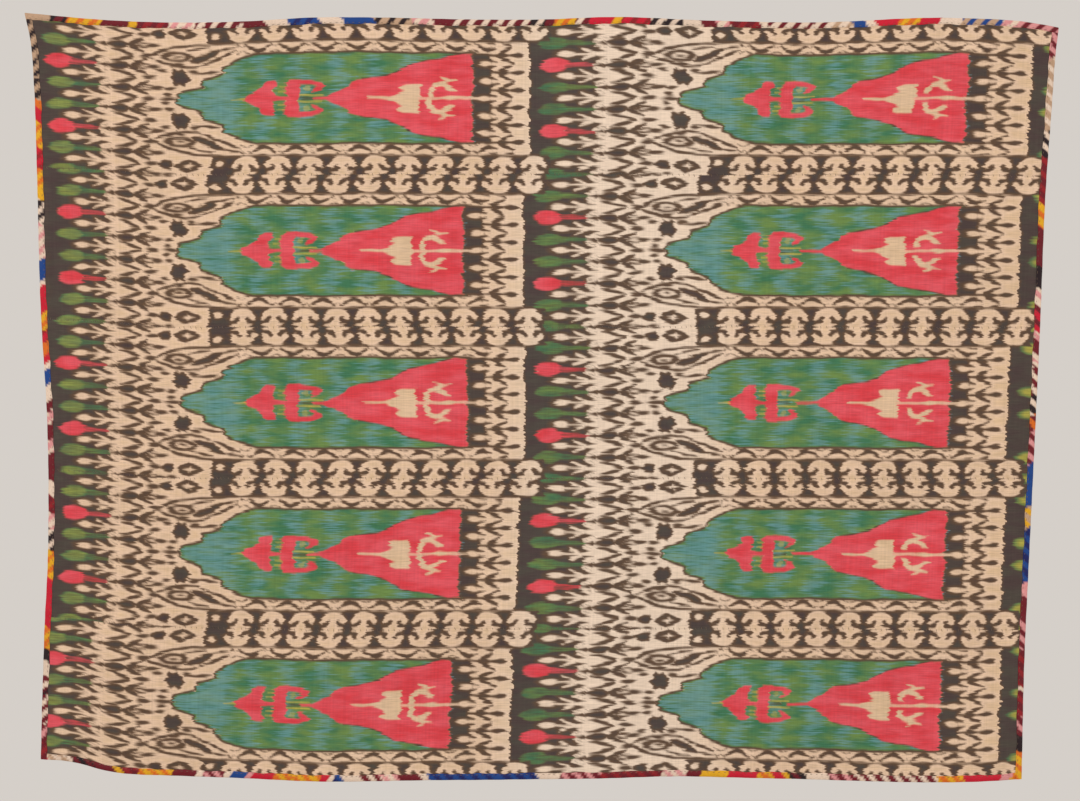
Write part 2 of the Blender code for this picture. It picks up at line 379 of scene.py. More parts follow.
def paintHooks(dyes, along, aside):
    # The chain beside each seam: cream domes whose ends droop, two eyes, and a stem that flares at the seam
    at = folded(along - repeat["hookFirst"], repeat["hookPitch"])
    chain, domes = between(along, *repeat["chain"]), between(along, *repeat["domes"])
    paint(dyes, "dark", np.minimum(chain, aside - repeat["frameLine"]))
    dome = [(0, 115.2), (9, 116), (15, 118.4), (20, 122.4), (24, 128.4), (27, 136), (22.5, 139.5), (16, 136),
            (9, 133), (0, 132)]
    mirrored = dome[::-1] + [(-a, s) for a, s in dome[1:-1]]
    paint(dyes, "cream", np.minimum(patch(at, aside, mirrored), domes))
    brush(dyes, "cream", at, aside,
          [(0, 124, 6.5), (0, 134, 5.0), (0, 141, 8.0), (0, 151, 12.0)],
          [(8, 149, 4.2), (20, 148, 2.0)], within=domes)
    paint(dyes, "dark", np.minimum(oval(at, aside, 9.6, 134.5, 4.6, 4.2), chain + 2))
    paint(dyes, "cream", oval(along, aside, 283, 128, 8, 6))
    line = repeat["frameHalf"] - np.abs(aside - repeat["frameLine"])
    paint(dyes, "dark", np.minimum(line, between(along, *repeat["frame"])))


def paintFans(dyes, along, aside):
    # Cream fans that stand on the niche's edge, and between them dark arches over a pale foot
    at = folded(along - repeat["hookFirst"] + repeat["hookPitch"] / 2, repeat["hookPitch"])
    fan = folded(along - repeat["hookFirst"], repeat["hookPitch"])
    run = between(along, *repeat["fans"])
    paint(dyes, "cream", np.minimum(between(aside, 84, repeat["frameLine"] - repeat["frameHalf"]), run))
    arch = stroke(at, aside, [(0, 96, 4.8), (8, 98.5, 4.2), (16, 103, 3.0), (25, 109, 1.8)])
    foot = stroke(at, aside, [(0, 112, 1.6), (13, 112.5, 1.0)])
    petals = stroke(fan, aside, [(0, 97, 0.8), (7, 94.5, 1.3), (14, 90.5, 1.0)])
    heart = stroke(fan, aside, [(0, 104, 0.4), (6, 108, 1.1)])
    paint(dyes, "dark", np.minimum(np.maximum(arch, foot), run))
    paint(dyes, "dark", np.minimum(np.maximum(petals, heart), run))


def paintNiche(dyes, along, aside, nth):
    green = patch(along, aside, bothSides(niche))
    paint(dyes, "dark", green + 4.6)
    paint(dyes, "green", green)
    # Blue comes and goes through the green in upright zigzags, and fills the niche's tip
    zigzag = 22 * np.abs((aside / 34) % 2 - 1)
    blue = 2.6 * np.cos(2 * math.pi * (along + zigzag - 306) / 74) - 2
    blue = np.maximum(blue, np.clip((318 - along) / 8, -6, 1.5))
    dyes["blue"] = np.minimum(blue, 2 * green - 5)
    # The comb: a barbed arrow, a stem, and a bar whose arms hook back towards the axis; shorter in the second
    # repeat, where a longer stem joins it to the red
    brush(dyes, "red", along, aside, [(470, 0, 2.8), (505, 0, 2.8), (524, 0, 4.0)])
    along = np.where(nth > 0, 334 + (along - 334) * 1.1, along)
    brush(dyes, "yellow", along, aside, [(308, 0, 0.8), (338, 0, 2.6)], within=0.6)
    paint(dyes, "red", patch(along, aside, bothSides(combHead)))
    brush(dyes, "red", along, aside, [(388, 0, 4.6), (420, 0, 3.0)])
    stripes = np.minimum(1.8 - folded(aside - 14, 9), between(aside, 8, 30))
    paint(dyes, "yellow", np.minimum(np.minimum(stripes, between(along, 398, 413)), 0.2))
    bar = [(413, 0), (413, 30), (420, 37), (442, 38), (440, 24), (439, 0)]
    paint(dyes, "red", patch(along, aside, bothSides(bar)))
    brush(dyes, "red", along, aside,
          [(440, 32, 4.8), (464, 31, 4.8), (482, 25, 5.0), (474, 19, 4.4), (464, 13, 1.6)])
    paint(dyes, "yellow", np.minimum(oval(along, aside, 454, 20, 7, 6), 0.0))
    brush(dyes, "yellow", along, aside, [(440, 6.2, 1.8), (486, 6.2, 1.6)])
    brush(dyes, "dark", along, aside, [(442, 0, 2.4), (466, 0, 2.4)], within=0.3)


def paintRed(dyes, along, aside, nth):
    later = np.where(nth > 0, 20 * np.clip((600 - along) / 100, 0, 1), 0)
    red = patch(along - later, aside, bothSides(redField))
    paint(dyes, "dark", np.minimum(red + 1.8, between(along, 560, 765)))
    paint(dyes, "red", red)
    # The pendant: a barbed head on a long axis that blushes, and two curled hooks with a prong each, which
    # stand clear of the axis in the second repeat
    paint(dyes, "cream", patch(along, aside, bothSides(pendant)))
    axis = stroke(along, aside, [(674, 0, 2.2), (722, 0, 2.2), (738, 0, 4.4), (756, 0, 2.6), (800, 0, 2.4)])
    paint(dyes, "cream", axis)
    dyes["blush"] = np.minimum(axis, np.maximum(780 - along, -9) * np.where(np.abs(along - 738) < 14, -1, 1))
    brush(dyes, "cream", along, aside,
          [(697, 0, 5.0), (696, 10, 5.0), (698, 18, 5.0), (704, 25, 4.8), (714, 28, 4.6), (724, 24, 4.4),
           (734, 18, 4.6), (743, 15, 1.6)],
          [(715, 28, 4.0), (726, 33, 3.2), (743, 36, 1.2)],
          [(712, 41, 1.4), (720, 38, 2.6), (727, 34, 3.0)], within=np.where(nth > 0, aside - 9, 9))


def paintFoot(dyes, along, aside):
    # After the red: a dark gap with cream spears, a column of herringbone leaves, and the cream line
    lane = folded(aside, repeat["lanePitch"])
    stem = folded(aside + repeat["lanePitch"] / 2, repeat["lanePitch"])
    inside = repeat["frameLine"] - repeat["frameHalf"] - aside
    field = np.minimum(between(along, 780, repeat["footEnd"]), inside)
    paint(dyes, "dark", np.minimum(between(along, 778, 830), 90 - aside))
    paint(dyes, "cream", np.minimum(between(along, 817, repeat["length"] + repeat["start"]), inside))
    paint(dyes, "cream", np.minimum(oval(along, lane, 805, 0, 12.5, 5.6), 84 - aside))
    brush(dyes, "cream", along, lane, [(806, 0, 2), (822, 0, 2)], within=84 - aside)
    brush(dyes, "cream", along, aside, [(776, 0, 2.2), (800, 0, 2.2)])
    brush(dyes, "dark", along, lane, [(814, 7.5, 3.4), (828, 4, 1.4)], within=field)
    brush(dyes, "dark", along, stem,
          [(806, 0, 3.6), (820, 0, 2.4), (832, 0, 2.8), (842, 0, 5.2), (850, 0, 3.0), (856, 0, 1.8)],
          [(834, 3, 3.4), (846, 9, 4.2), (860, 15, 2.0)],
          [(852, 0, 1.6), (862, 0, 3.2), (872, 0, 5.4), (880, 0, 4.4), (886, 0, 1.2)], within=field)


hand = {
    "bundle": 2.8,  # millimetres of threads bound together
    "pull": 1.5,  # how far a bundle is pulled along
    "slowPull": 0.9,
    "pullPitch": 260,
    "waver": ((1.1, 13, 90), (0.8, 5.5, 45)),  # its size, then millimetres to a radian across and along
    "drift": ((0.8, math.inf, 31), (0.5, 9, 13), (0.3, 4, 5.1)),
    "beyond": 300,  # past the last lines the chart runs on at its own scale
}


def dyeFields(number, flatX, flatDown, fromAxis, seed):
    # All dyes' fields at points of one loom width. Each thread bundle is pulled along by its own amount, and
    # the drawing wavers, as tied and bound by hand. Ends tells how squarely the nearest dye's edge crosses
    # the warp, where it feathers most
    rng = np.random.default_rng(seed)
    start, length, beyond = repeat["start"], repeat["length"], hand["beyond"]
    lines = [placing[key][number - 1] for key in placing]
    charted = placed + tuple(line + length for line in placed)
    flat, aside = flatX * 1000, fromAxis * 1000
    run = np.interp(flat, [lines[0] - beyond, *lines, lines[-1] + beyond],
                    [-beyond, *charted, charted[-1] + beyond])
    turns = rng.uniform(0, 2 * math.pi, 8)
    bundles = np.round(flatDown * 1000 / hand["bundle"]).astype(int)
    pulls = rng.normal(0, 1.0, bundles.max() + 2)
    slow = np.convolve(rng.normal(0, 1.0, len(pulls) + 8), np.ones(9) / 3, mode="valid")
    run = run + hand["pull"] * pulls[bundles] + hand["slowPull"] * slow[bundles]
    swing = np.sin(2 * math.pi * flat / hand["pullPitch"] + turns[0])
    run = run + hand["pull"] * pulls[::-1][bundles] * swing
    for turn, (size, across, ahead) in zip(turns[1:3], hand["waver"]):
        run = run + size * np.sin(aside / across + turn + flat / ahead)
    for turn, (size, across, ahead) in zip(turns[3:6], hand["drift"]):
        aside = aside + size * np.sin(flat / ahead + turn + aside / across)
    run = np.maximum(run, start + 6)  # the cloth's left edge is all head band
    nth = ((run - start) // length).astype(int)
    along = (run - start) % length + start
    aside = np.abs(aside)
    # The last hook of each chain reaches into the next head band
    chained = np.where((along < 100) & (run > length / 2), along + length, along)
    dyes = {name: np.full(along.shape, -outside) for name in layers + ("blush",)}
    paintHead(dyes, along, aside, nth)
    paintShoulder(dyes, along, aside)
    paintHooks(dyes, chained, aside)
    paintFans(dyes, along, aside)
    paintNiche(dyes, along, aside, nth)
    paintRed(dyes, along, aside, nth)
    paintFoot(dyes, along, aside)
    dyes = {name: np.clip(field, -20, 20) for name, field in dyes.items()}
    fields = np.stack([dyes[name] for name in layers])
    nearest = np.abs(fields).argmin(axis=0)[None]
    slope = np.abs(np.gradient(fields, axis=2) / np.gradient(flat, axis=1))
    dyes["ends"] = np.clip(np.take_along_axis(slope, nearest, axis=0)[0], 0, 1)
    return dyes


print("pattern charted")


# Meshes from numpy grids

def makeMesh(name, points, faces, smooth=True):
    mesh = bpy.data.meshes.new(name)
    mesh.from_pydata(points.reshape(-1, 3).tolist(), [], faces)
    if smooth:
        mesh.shade_smooth()
    piece = bpy.data.objects.new(name, mesh)
    bpy.context.scene.collection.objects.link(piece)
    return piece


def addNumbers(piece, name, values):
    # One number at each of the piece's points
    layer = piece.data.attributes.new(name, "FLOAT", "POINT")
    layer.data.foreach_set("value", np.asarray(values, np.float32).ravel())


def addFlatMap(piece, flatX, flatDown):
    # A UV map in metres of the flat cloth: U along the warp, V across it
    mesh = piece.data
    corners = np.empty(len(mesh.loops), np.int32)
    mesh.loops.foreach_get("vertex_index", corners)
    flat = np.stack([flatX.ravel(), flatDown.ravel()], axis=-1).astype(np.float32)
    mesh.uv_layers.new(name="threads").uv.foreach_set("vector", flat[corners].ravel())


def gridFaces(index):
    # Four-sided faces of a grid of point numbers, facing the side from which rows run down and columns right
    return np.stack([index[:-1, :-1], index[1:, :-1], index[1:, 1:], index[:-1, 1:]], axis=-1).reshape(-1, 4)


# The five loom widths

panels = {
    "columns": 515,  # points along the warp on the face, an odd number; the back has every other one
    "rows": 108,
    "seamGap": 0.00004,  # too little for light to show through
    "wander": 0.0009,  # how far a seam strays to either side of its line
    "wanderWaves": ((9.0, 2.1, 1.0), (23.0, 1.0, 0.6)),  # radians a metre, radians from seam to seam, share
    "axisOffset": (0.003, 0.0, 0.0, 0.0, 0.0),  # how far below the loom width's middle its niches' axis lies
    "paleFrom": 0.98,  # the faded stretch across the middle, from the left edge
    "paleTo": 1.42,
    "firstSeed": 41,
    "sharpAngle": 50,
}


def seamWander(flatX, number):
    # Two slow waves of its own for each seam, so both its panels stray together
    return panels["wander"] * sum(share * np.sin(bend * flatX + shift * number)
                                  for bend, shift, share in panels["wanderWaves"])


def panelRows(number, flatX, count):
    # Flat distance down for each row and column, evenly between the two edges, which wander
    gap = panels["seamGap"] / 2
    last = len(hanging["loomWidths"])
    top = tucked if number == 1 else seams[number - 2] + gap + seamWander(flatX, number - 1)
    bottom = drop - tucked if number == last else seams[number - 1] - gap + seamWander(flatX, number)
    share = np.linspace(0, 1, count)[:, None]
    return (1 - share) * top + share * bottom


def makePanel(number):
    # Face and back are grids; the rim joins each pair of the face's columns to one of the back's
    count, rows = panels["columns"], panels["rows"]
    face = np.linspace(tucked, hanging["cutLength"] - tucked, count)[None, :]
    back = face[:, ::2]
    half = hanging["clothThick"] / 2
    sides = []
    for columns, off in ((face, -half), (back, half)):
        down = panelRows(number, columns, rows)
        flatX = np.broadcast_to(columns, down.shape)
        sides.append((flatX, down, place(flatX, down, off)))
    points = np.concatenate([side[2].reshape(-1, 3) for side in sides])
    faceIndex = np.arange(rows * count).reshape(rows, count)
    backIndex = rows * count + np.arange(rows * back.shape[1]).reshape(rows, -1)
    quads = [gridFaces(faceIndex), gridFaces(backIndex[:, ::-1])]
    triangles = []
    for row, turned in ((0, False), (-1, True)):
        a, m, b = faceIndex[row, :-2:2], faceIndex[row, 1:-1:2], faceIndex[row, 2::2]
        c, d = backIndex[row, :-1], backIndex[row, 1:]
        rim = np.stack([a, m, c, m, d, c, m, b, d], axis=-1).reshape(-1, 3)
        triangles.append(rim[:, ::-1] if turned else rim)
    for column, turned in ((0, False), (-1, True)):
        f, b = faceIndex[:, column], backIndex[:, column]
        rim = np.stack([f[:-1], b[:-1], b[1:], f[1:]], axis=-1)
        quads.append(rim[:, ::-1] if turned else rim)
    faces = np.concatenate(quads).tolist() + np.concatenate(triangles).tolist()
    piece = makeMesh(f"ikatPanel{number}", points, faces)
    piece.data.set_sharp_from_angle(angle=math.radians(panels["sharpAngle"]))
    flatX = np.concatenate([side[0].ravel() for side in sides])
    addFlatMap(piece, flatX, np.concatenate([side[1].ravel() for side in sides]))
    above = sum(hanging["loomWidths"][: number - 1])
    axis = above + hanging["loomWidths"][number - 1] / 2 + panels["axisOffset"][number - 1]
    seed = panels["firstSeed"] + number - 1
    fields = [dyeFields(number, side[0], side[1], side[1] - axis, seed) for side in sides]
    for dye in fields[0]:
        addNumbers(piece, dye, np.concatenate([field[dye].ravel() for field in fields]))
    middle = (panels["paleFrom"] + panels["paleTo"]) / 2
    reach = (panels["paleTo"] - panels["paleFrom"]) / 2
    addNumbers(piece, "pale", np.exp(-(((flatX - middle) / reach) ** 4)))
    return piece


# Bindings: a strip of patches folded over each edge

bindingDyes = {
    "beige": (196, 160, 130),
    "cream": (238, 212, 190),
    "pink": (226, 150, 150),
    "maroon": (112, 12, 28),
    "brick": (150, 22, 30),
    "red": (206, 14, 46),
    "orange": (226, 110, 24),
    "yellow": (232, 172, 24),
    "blue": (16, 66, 140),
    "navy": (16, 26, 96),
    "black": (34, 14, 20),
}
# Patches along each binding: where each ends, in millimetres from its left or top end, its dye, and any dye
# that stripes it
bindingPatches = {
    "top": """
        50 beige, 86 maroon black, 156 yellow orange, 210 maroon, 226 yellow, 290 maroon brick,
        340 cream pink, 430 maroon cream, 474 maroon, 520 cream, 584 blue navy, 630 cream, 692 blue,
        770 beige black, 810 pink cream, 850 maroon, 1010 maroon cream, 1040 black cream, 1060 maroon,
        1100 yellow orange, 1130 maroon cream, 1176 red, 1194 yellow, 1250 red brick, 1310 black cream,
        1346 cream, 1374 maroon, 1404 cream pink, 1464 maroon brick, 1480 cream, 1600 cream maroon,
        1646 cream beige, 1676 blue, 1694 cream, 1746 red, 1786 orange yellow, 1830 red, 1870 cream,
        1952 beige blue, 1990 pink cream, 2070 pink maroon
    """,
    "bottom": """
        15 red maroon, 71 cream beige, 113 black maroon, 158 maroon, 174 yellow, 204 maroon brick,
        275 yellow orange, 323 maroon, 338 cream, 380 maroon pink, 397 cream, 428 blue, 439 pink, 487 red,
        523 orange yellow, 582 yellow orange, 601 red, 613 cream, 638 blue navy, 674 cream,
        716 maroon cream, 754 cream pink, 800 maroon, 817 cream, 964 blue navy, 1048 navy blue,
        1086 cream, 1174 maroon pink, 1300 maroon brick, 1352 cream pink, 1384 maroon, 1438 yellow,
        1499 red, 1541 orange yellow, 1562 red, 1573 yellow, 1611 black maroon, 1657 cream,
        1709 maroon pink, 1888 maroon cream, 1942 orange yellow, 2014 red, 2035 pink, 2070 yellow orange
    """,
    "left": """
        126 beige black, 170 black beige, 190 orange, 215 red, 269 yellow orange, 309 red brick,
        345 yellow orange, 369 yellow, 419 black cream, 497 cream pink, 540 blue, 552 cream, 606 red,
        638 orange yellow, 664 red brick, 690 orange, 704 red, 716 cream, 750 blue, 780 cream, 802 maroon,
        828 pink cream, 858 maroon, 888 pink cream, 937 maroon, 967 cream, 1001 maroon brick,
        1035 cream pink, 1077 black cream, 1133 yellow orange, 1237 red, 1281 orange yellow, 1308 black,
        1336 cream, 1354 maroon, 1368 cream, 1384 black maroon, 1446 maroon cream, 1480 pink maroon,
        1530 maroon brick
    """,
    "right": """
        62 pink maroon, 215 beige cream, 273 black cream, 369 maroon brick, 415 yellow orange, 491 maroon,
        538 black, 572 cream pink, 624 red maroon, 640 cream pink, 670 maroon, 686 cream pink,
        744 maroon cream, 784 black cream, 818 orange maroon, 883 maroon pink, 967 blue,
        1013 beige yellow, 1119 navy blue, 1157 pink, 1202 maroon, 1260 pink maroon, 1334 maroon brick,
        1344 cream, 1392 maroon brick, 1436 maroon pink, 1464 black, 1530 yellow orange
    """,
}
bindings = {
    "step": 0.004,  # between rings along the strip
    "slant": 0.55,  # how far a patch's end leans for each metre across the strip
    "stripePitch": 0.027,
    "stripeLean": 0.9,
    "stripeFrom": 0.15,  # the second dye shows where the stripes' sine is above this
    "foldInset": 0.0004,  # where the fold's corner, its shoulder and its lip's edge round over
    "shoulder": 0.0018,
    "lipRound": 0.0006,
    "edgeWaver": 0.0007,
    "puff": 0.0004,
    "backShift": 0.03,  # between the front leaf and the back leaf on the flat map
    "sharpAngle": 60,
}
edges = {  # flat place of a point some way along each edge and some way in from it
    "top": lambda along, inset: (along, inset),
    "bottom": lambda along, inset: (along, drop - inset),
    "left": lambda along, inset: (inset, along),
    "right": lambda along, inset: (hanging["cutLength"] - inset, along),
}


def paintColour(red, green, blue):
    # A screen colour from 0 to 255 as Blender's linear colour
    value = np.array([red, green, blue]) / 255
    linear = np.where(value <= 0.04045, value / 12.92, ((value + 0.055) / 1.055) ** 2.4)
    return (*linear.tolist(), 1.0)


def bindingColour(name, along, inset, turn):
    # Each point takes the patch that its slanted place falls in; every other stripe takes the second dye
    patches = [words.split() for words in bindingPatches[name].split(",")]
    ends = np.array([float(words[0]) for words in patches]) / 1000
    firsts = np.array([paintColour(*bindingDyes[words[1]]) for words in patches])
    seconds = np.array([paintColour(*bindingDyes[words[-1]]) for words in patches])
    waver = 0.0015 * np.sin(90 * along + turn) + 0.001 * np.sin(700 * inset + 31 * along)
    at = along + bindings["slant"] * inset * np.sign(np.sin(7 * along + turn)) + waver
    i = np.clip(np.searchsorted(ends, at), 0, len(patches) - 1)
    stripe = 2 * math.pi * (along + bindings["stripeLean"] * inset) / bindings["stripePitch"] + turn
    return np.where((np.sin(stripe) > bindings["stripeFrom"])[..., None], seconds[i], firsts[i])


def bindingSection(width, puff):
    # The folded strip's outline for each ring: insets from the cloth's edge, and offsets from its middle.
    # Outside from the front leaf round the fold to the back leaf, then back along the inside
    inner, thick = hanging["clothThick"] / 2 + hanging["gap"], hanging["bindingThick"]
    outer = inner + thick
    leaf = [(bindings["foldInset"], inner * 0.9), (bindings["shoulder"], outer + 0.3 * puff),
            (width * 0.5, outer + puff), (width - bindings["lipRound"], outer), (width, inner + 0.35 * thick)]
    lining = [(width - 0.0005, inner), (thick, inner * 0.85)]
    outline = [(inset, -off) for inset, off in leaf[::-1]] + [(-0.0001, 0.0)] + leaf + lining
    outline += [(inset, -off) for inset, off in lining[::-1]]
    return [np.stack([np.broadcast_to(point[i], width.shape) for point in outline], axis=-1) for i in (0, 1)]


def makeBinding(name, start, end, turn, outward):
    # Rings of the folded section along the cloth's edge, and triangles that close the two end rings
    along = np.linspace(start, end, int((end - start) / bindings["step"]))
    waver = np.sin(61 * along + turn) + 0.7 * np.sin(173 * along)
    width = hanging["bindingWidth"] + bindings["edgeWaver"] * waver
    puff = bindings["puff"] * (1 + 0.6 * np.sin(97 * along + turn) + 0.4 * np.sin(231 * along))
    inset, off = bindingSection(width, puff)
    wide = np.broadcast_to(along[:, None], inset.shape)
    points = place(*edges[name](wide, inset), off)
    n = inset.shape[1]
    index = np.arange(inset.size).reshape(inset.shape)
    index = np.concatenate([index, index[:, :1]], axis=1)
    faces = gridFaces(index[:, ::-1] if outward else index).tolist()
    caps = ((0, 1, 14), (1, 2, 14), (2, 13, 14), (2, 3, 13), (3, 4, 13), (4, 5, 13), (5, 12, 13), (5, 6, 12),
            (6, 7, 12), (7, 8, 12), (8, 11, 12), (8, 9, 11), (9, 10, 11))
    for cap in caps:
        first = cap[::-1] if outward else cap
        faces += [first, tuple(inset.size - n + i for i in reversed(first))]
    piece = makeMesh(f"binding{name.capitalize()}", points, faces)
    piece.data.set_sharp_from_angle(angle=math.radians(bindings["sharpAngle"]))
    addFlatMap(piece, wide, inset + np.where(off > 0, bindings["backShift"], 0))
    colours = bindingColour(name, wide, np.where(off > 0, -inset, inset), turn)
    layer = piece.data.attributes.new("patchDye", "FLOAT_COLOR", "POINT")
    layer.data.foreach_set("color", colours.astype(np.float32).ravel())
    return piece


# Sewing: whip stitches over the seams and running stitches along the bindings, on both faces

stitching = {
    "whipPitch": 0.0115,
    "whipLength": 0.0058,
    "whipSlant": 0.35,
    "whipStray": (0.0010, 0.0004),  # along the seam and across it
    "whipTurn": 0.12,
    "runPitch": 0.0115,
    "runLength": 0.0056,
    "runInset": 0.0100,
    "runs": {  # how far each edge's run stays from its two ends
        "top": (0.010, 0.010), "bottom": (0.020, 0.020), "left": (0.020, 0.008), "right": (0.020, 0.008),
    },
    "runStray": 0.0007,
    "runTurn": 0.08,
    "uneven": 0.12,  # share by which the stitches' lengths differ
    "seamEnd": 0.02,
    "thread": 0.00042,  # radius
    "rise": 0.0006,
    "sink": 0.0001,
    "rings": 4,
    "sides": 4,
    "seed": 11,
}


def makeStitches(name, flatX, flatDown, aimX, aimDown, length, base):
    # Each stitch arches over the cloth from end to end: height is a half sine, and so is the thread's radius
    # down to a third at the ends. Both faces get one
    rings, sides = stitching["rings"], stitching["sides"]
    t = np.linspace(0, 1, rings)[None, None, :, None]
    turn = (2 * math.pi * np.arange(sides) / sides)[None, None, None, :]
    face = np.array([-1.0, 1.0])[:, None, None, None]
    at = [value[None, :, None, None] for value in (flatX, flatDown, aimX, aimDown, length)]
    radius = stitching["thread"] * (0.35 + 0.65 * np.sin(math.pi * t))
    run = (t - 0.5) * at[4]
    aside = radius * np.cos(turn)
    lift = base - stitching["sink"] + stitching["rise"] * np.sin(math.pi * t) + radius * np.sin(turn)
    x = at[0] + run * at[2] - aside * at[3]
    down = at[1] + run * at[3] + aside * at[2]
    x, down, lift = np.broadcast_arrays(x, down, face * lift)
    points = place(x, down, lift)
    ring = np.arange(rings * sides).reshape(rings, sides)
    quads = gridFaces(np.concatenate([ring, ring[:, :1]], axis=1))
    caps = np.array([[0, 1, 2], [0, 2, 3]])
    caps = np.concatenate([caps, caps[:, ::-1] + (rings - 1) * sides])
    starts = np.arange(x.shape[0] * x.shape[1]) * rings * sides
    front, back = np.split(starts, 2)
    faces = []
    for shape in (quads, caps):
        for some, corners in ((front, shape), (back, shape[:, ::-1])):
            faces += (some[:, None, None] + corners[None]).reshape(-1, shape.shape[1]).tolist()
    return makeMesh(name, points, faces)


def makeSewing():
    rng = np.random.default_rng(stitching["seed"])
    over = hanging["clothThick"] / 2
    strayX, strayDown = stitching["whipStray"]
    made = []
    for number, seam in enumerate(seams, start=1):
        end = hanging["cutLength"] - stitching["seamEnd"]
        x = np.arange(stitching["seamEnd"], end, stitching["whipPitch"])
        x = x + rng.normal(0, strayX, x.shape)
        lean = stitching["whipSlant"] + rng.normal(0, stitching["whipTurn"], x.shape)
        length = stitching["whipLength"] * (1 + rng.normal(0, stitching["uneven"], x.shape))
        down = seam + seamWander(x, number) + rng.normal(0, strayDown, x.shape)
        made.append(makeStitches(f"whipStitches{number}", x, down, np.sin(lean), np.cos(lean), length, over))
    runs = []
    for name, (first, last) in stitching["runs"].items():
        level = name in ("top", "bottom")
        s = np.arange(first, (hanging["cutLength"] if level else drop) - last, stitching["runPitch"])
        s = s + rng.normal(0, stitching["runStray"], s.shape)
        x, down = edges[name](s, np.full(s.shape, stitching["runInset"]))
        wobble = rng.normal(0, stitching["runTurn"], s.shape)
        aim = np.cos(wobble), np.sin(wobble)
        aimX, aimDown = aim if level else aim[::-1]
        length = stitching["runLength"] * (1 + rng.normal(0, stitching["uneven"], s.shape))
        runs.append((x, down, aimX, aimDown, length))
    columns = [np.concatenate(column) for column in zip(*runs)]
    over = over + hanging["gap"] + hanging["bindingThick"]
    made.append(makeStitches("bindingStitches", *columns, over))
    return made


# Materials

def fill(tree, node, inputs):
    # Each input gets either a fixed value or another node's socket
    for key, value in inputs.items():
        if isinstance(value, bpy.types.NodeSocket):
            tree.links.new(value, node.inputs[key])
        else:
            node.inputs[key].default_value = value


def addNode(tree, kind, inputs=None, **settings):
    node = tree.nodes.new(kind)
    for key, value in settings.items():
        setattr(node, key, value)
    fill(tree, node, inputs or {})
    return node


def addMath(tree, operation, a, b=0.0, c=0.0):
    return addNode(tree, "ShaderNodeMath", {0: a, 1: b, 2: c}, operation=operation).outputs[0]


def addStretch(tree, vector, by):
    return addNode(tree, "ShaderNodeVectorMath", {0: vector, 1: by}, operation="MULTIPLY").outputs[0]


def addNoise(tree, vector, scale, detail):
    inputs = {"Vector": vector, "Scale": scale, "Detail": detail}
    return addNode(tree, "ShaderNodeTexNoise", inputs).outputs[0]


def addRange(tree, value, low, high, **settings):
    # From nought at the low value to one at the high
    inputs = {"Value": value, "From Min": low, "From Max": high}
    return addNode(tree, "ShaderNodeMapRange", inputs, **settings).outputs[0]


def addMix(tree, factor, a, b):
    return addNode(tree, "ShaderNodeMix", {0: factor, 6: a, 7: b}, data_type="RGBA").outputs[2]


def newGroup(name, inputs, outputs, kind="Float"):
    # A node group with named sockets: inputs are numbers, colours of four, or vectors given as None.
    # Returns the group, its input's sockets and its output's node
    tree = bpy.data.node_groups.new(name, "ShaderNodeTree")
    for socket, value in inputs.items():
        given = "Vector" if value is None else "Color" if isinstance(value, tuple) else "Float"
        made = tree.interface.new_socket(socket, in_out="INPUT", socket_type=f"NodeSocket{given}")
        if value is not None:
            made.default_value = value
    for socket in outputs:
        tree.interface.new_socket(socket, in_out="OUTPUT", socket_type=f"NodeSocket{kind}")
    return tree, tree.nodes.new("NodeGroupInput").outputs, tree.nodes.new("NodeGroupOutput")


def placeGroup(tree, group, inputs):
    return addNode(tree, "ShaderNodeGroup", inputs, node_tree=group).outputs


def makeThreadGroup():
    # Uneven threads: single threads, bundles of threads, and the ribs that the weft raises across them
    tree, given, out = newGroup(
        "threads",
        {"Vector": None, "Threads per metre": 520.0, "Ribs per metre": 520.0, "Streaks per metre": 30.0},
        ("Thread", "Bundle", "Tone", "Grain", "Height"),
    )
    apart = addNode(tree, "ShaderNodeSeparateXYZ", {0: given["Vector"]}).outputs
    streak = addMath(tree, "MULTIPLY", apart["X"], given["Streaks per metre"])
    thread = addMath(tree, "MULTIPLY", apart["Y"], given["Threads per metre"])
    fine = addNode(tree, "ShaderNodeCombineXYZ", {0: streak, 1: thread}).outputs[0]
    fineNoise = addNoise(tree, fine, 1.0, 1.0)
    broadNoise = addNoise(tree, addStretch(tree, fine, (0.4, 0.36, 1.0)), 1.0, 1.0)
    wideNoise = addNoise(tree, addStretch(tree, fine, (0.5, 0.09, 1.0)), 1.0, 3.0)
    # Weft bars, short along the warp and long across it, in metres like the flat map
    barNoise = addNoise(tree, addStretch(tree, given["Vector"], (260.0, 7.0, 1.0)), 1.0, 1.0)
    grain = addMath(tree, "MULTIPLY_ADD", barNoise, 0.28, addMath(tree, "MULTIPLY", fineNoise, 0.72))
    ribs = addMath(tree, "MULTIPLY", apart["X"], given["Ribs per metre"])
    ribTurn = addMath(tree, "MULTIPLY", ribs, 2 * math.pi)
    ribs = addMath(tree, "SINE", addMath(tree, "ADD", ribTurn, addMath(tree, "MULTIPLY", broadNoise, 5.0)))
    rows = addMath(tree, "SINE", addMath(tree, "MULTIPLY", thread, 2 * math.pi))
    height = addMath(tree, "MULTIPLY", ribs, 0.25)
    for part, share in ((rows, 0.15), (fineNoise, 0.9)):
        height = addMath(tree, "ADD", height, addMath(tree, "MULTIPLY", part, share))
    fill(tree, out, {"Thread": fineNoise, "Bundle": broadNoise, "Tone": addRange(tree, wideNoise, 0.36, 0.64),
                     "Grain": grain, "Height": height})
    return tree


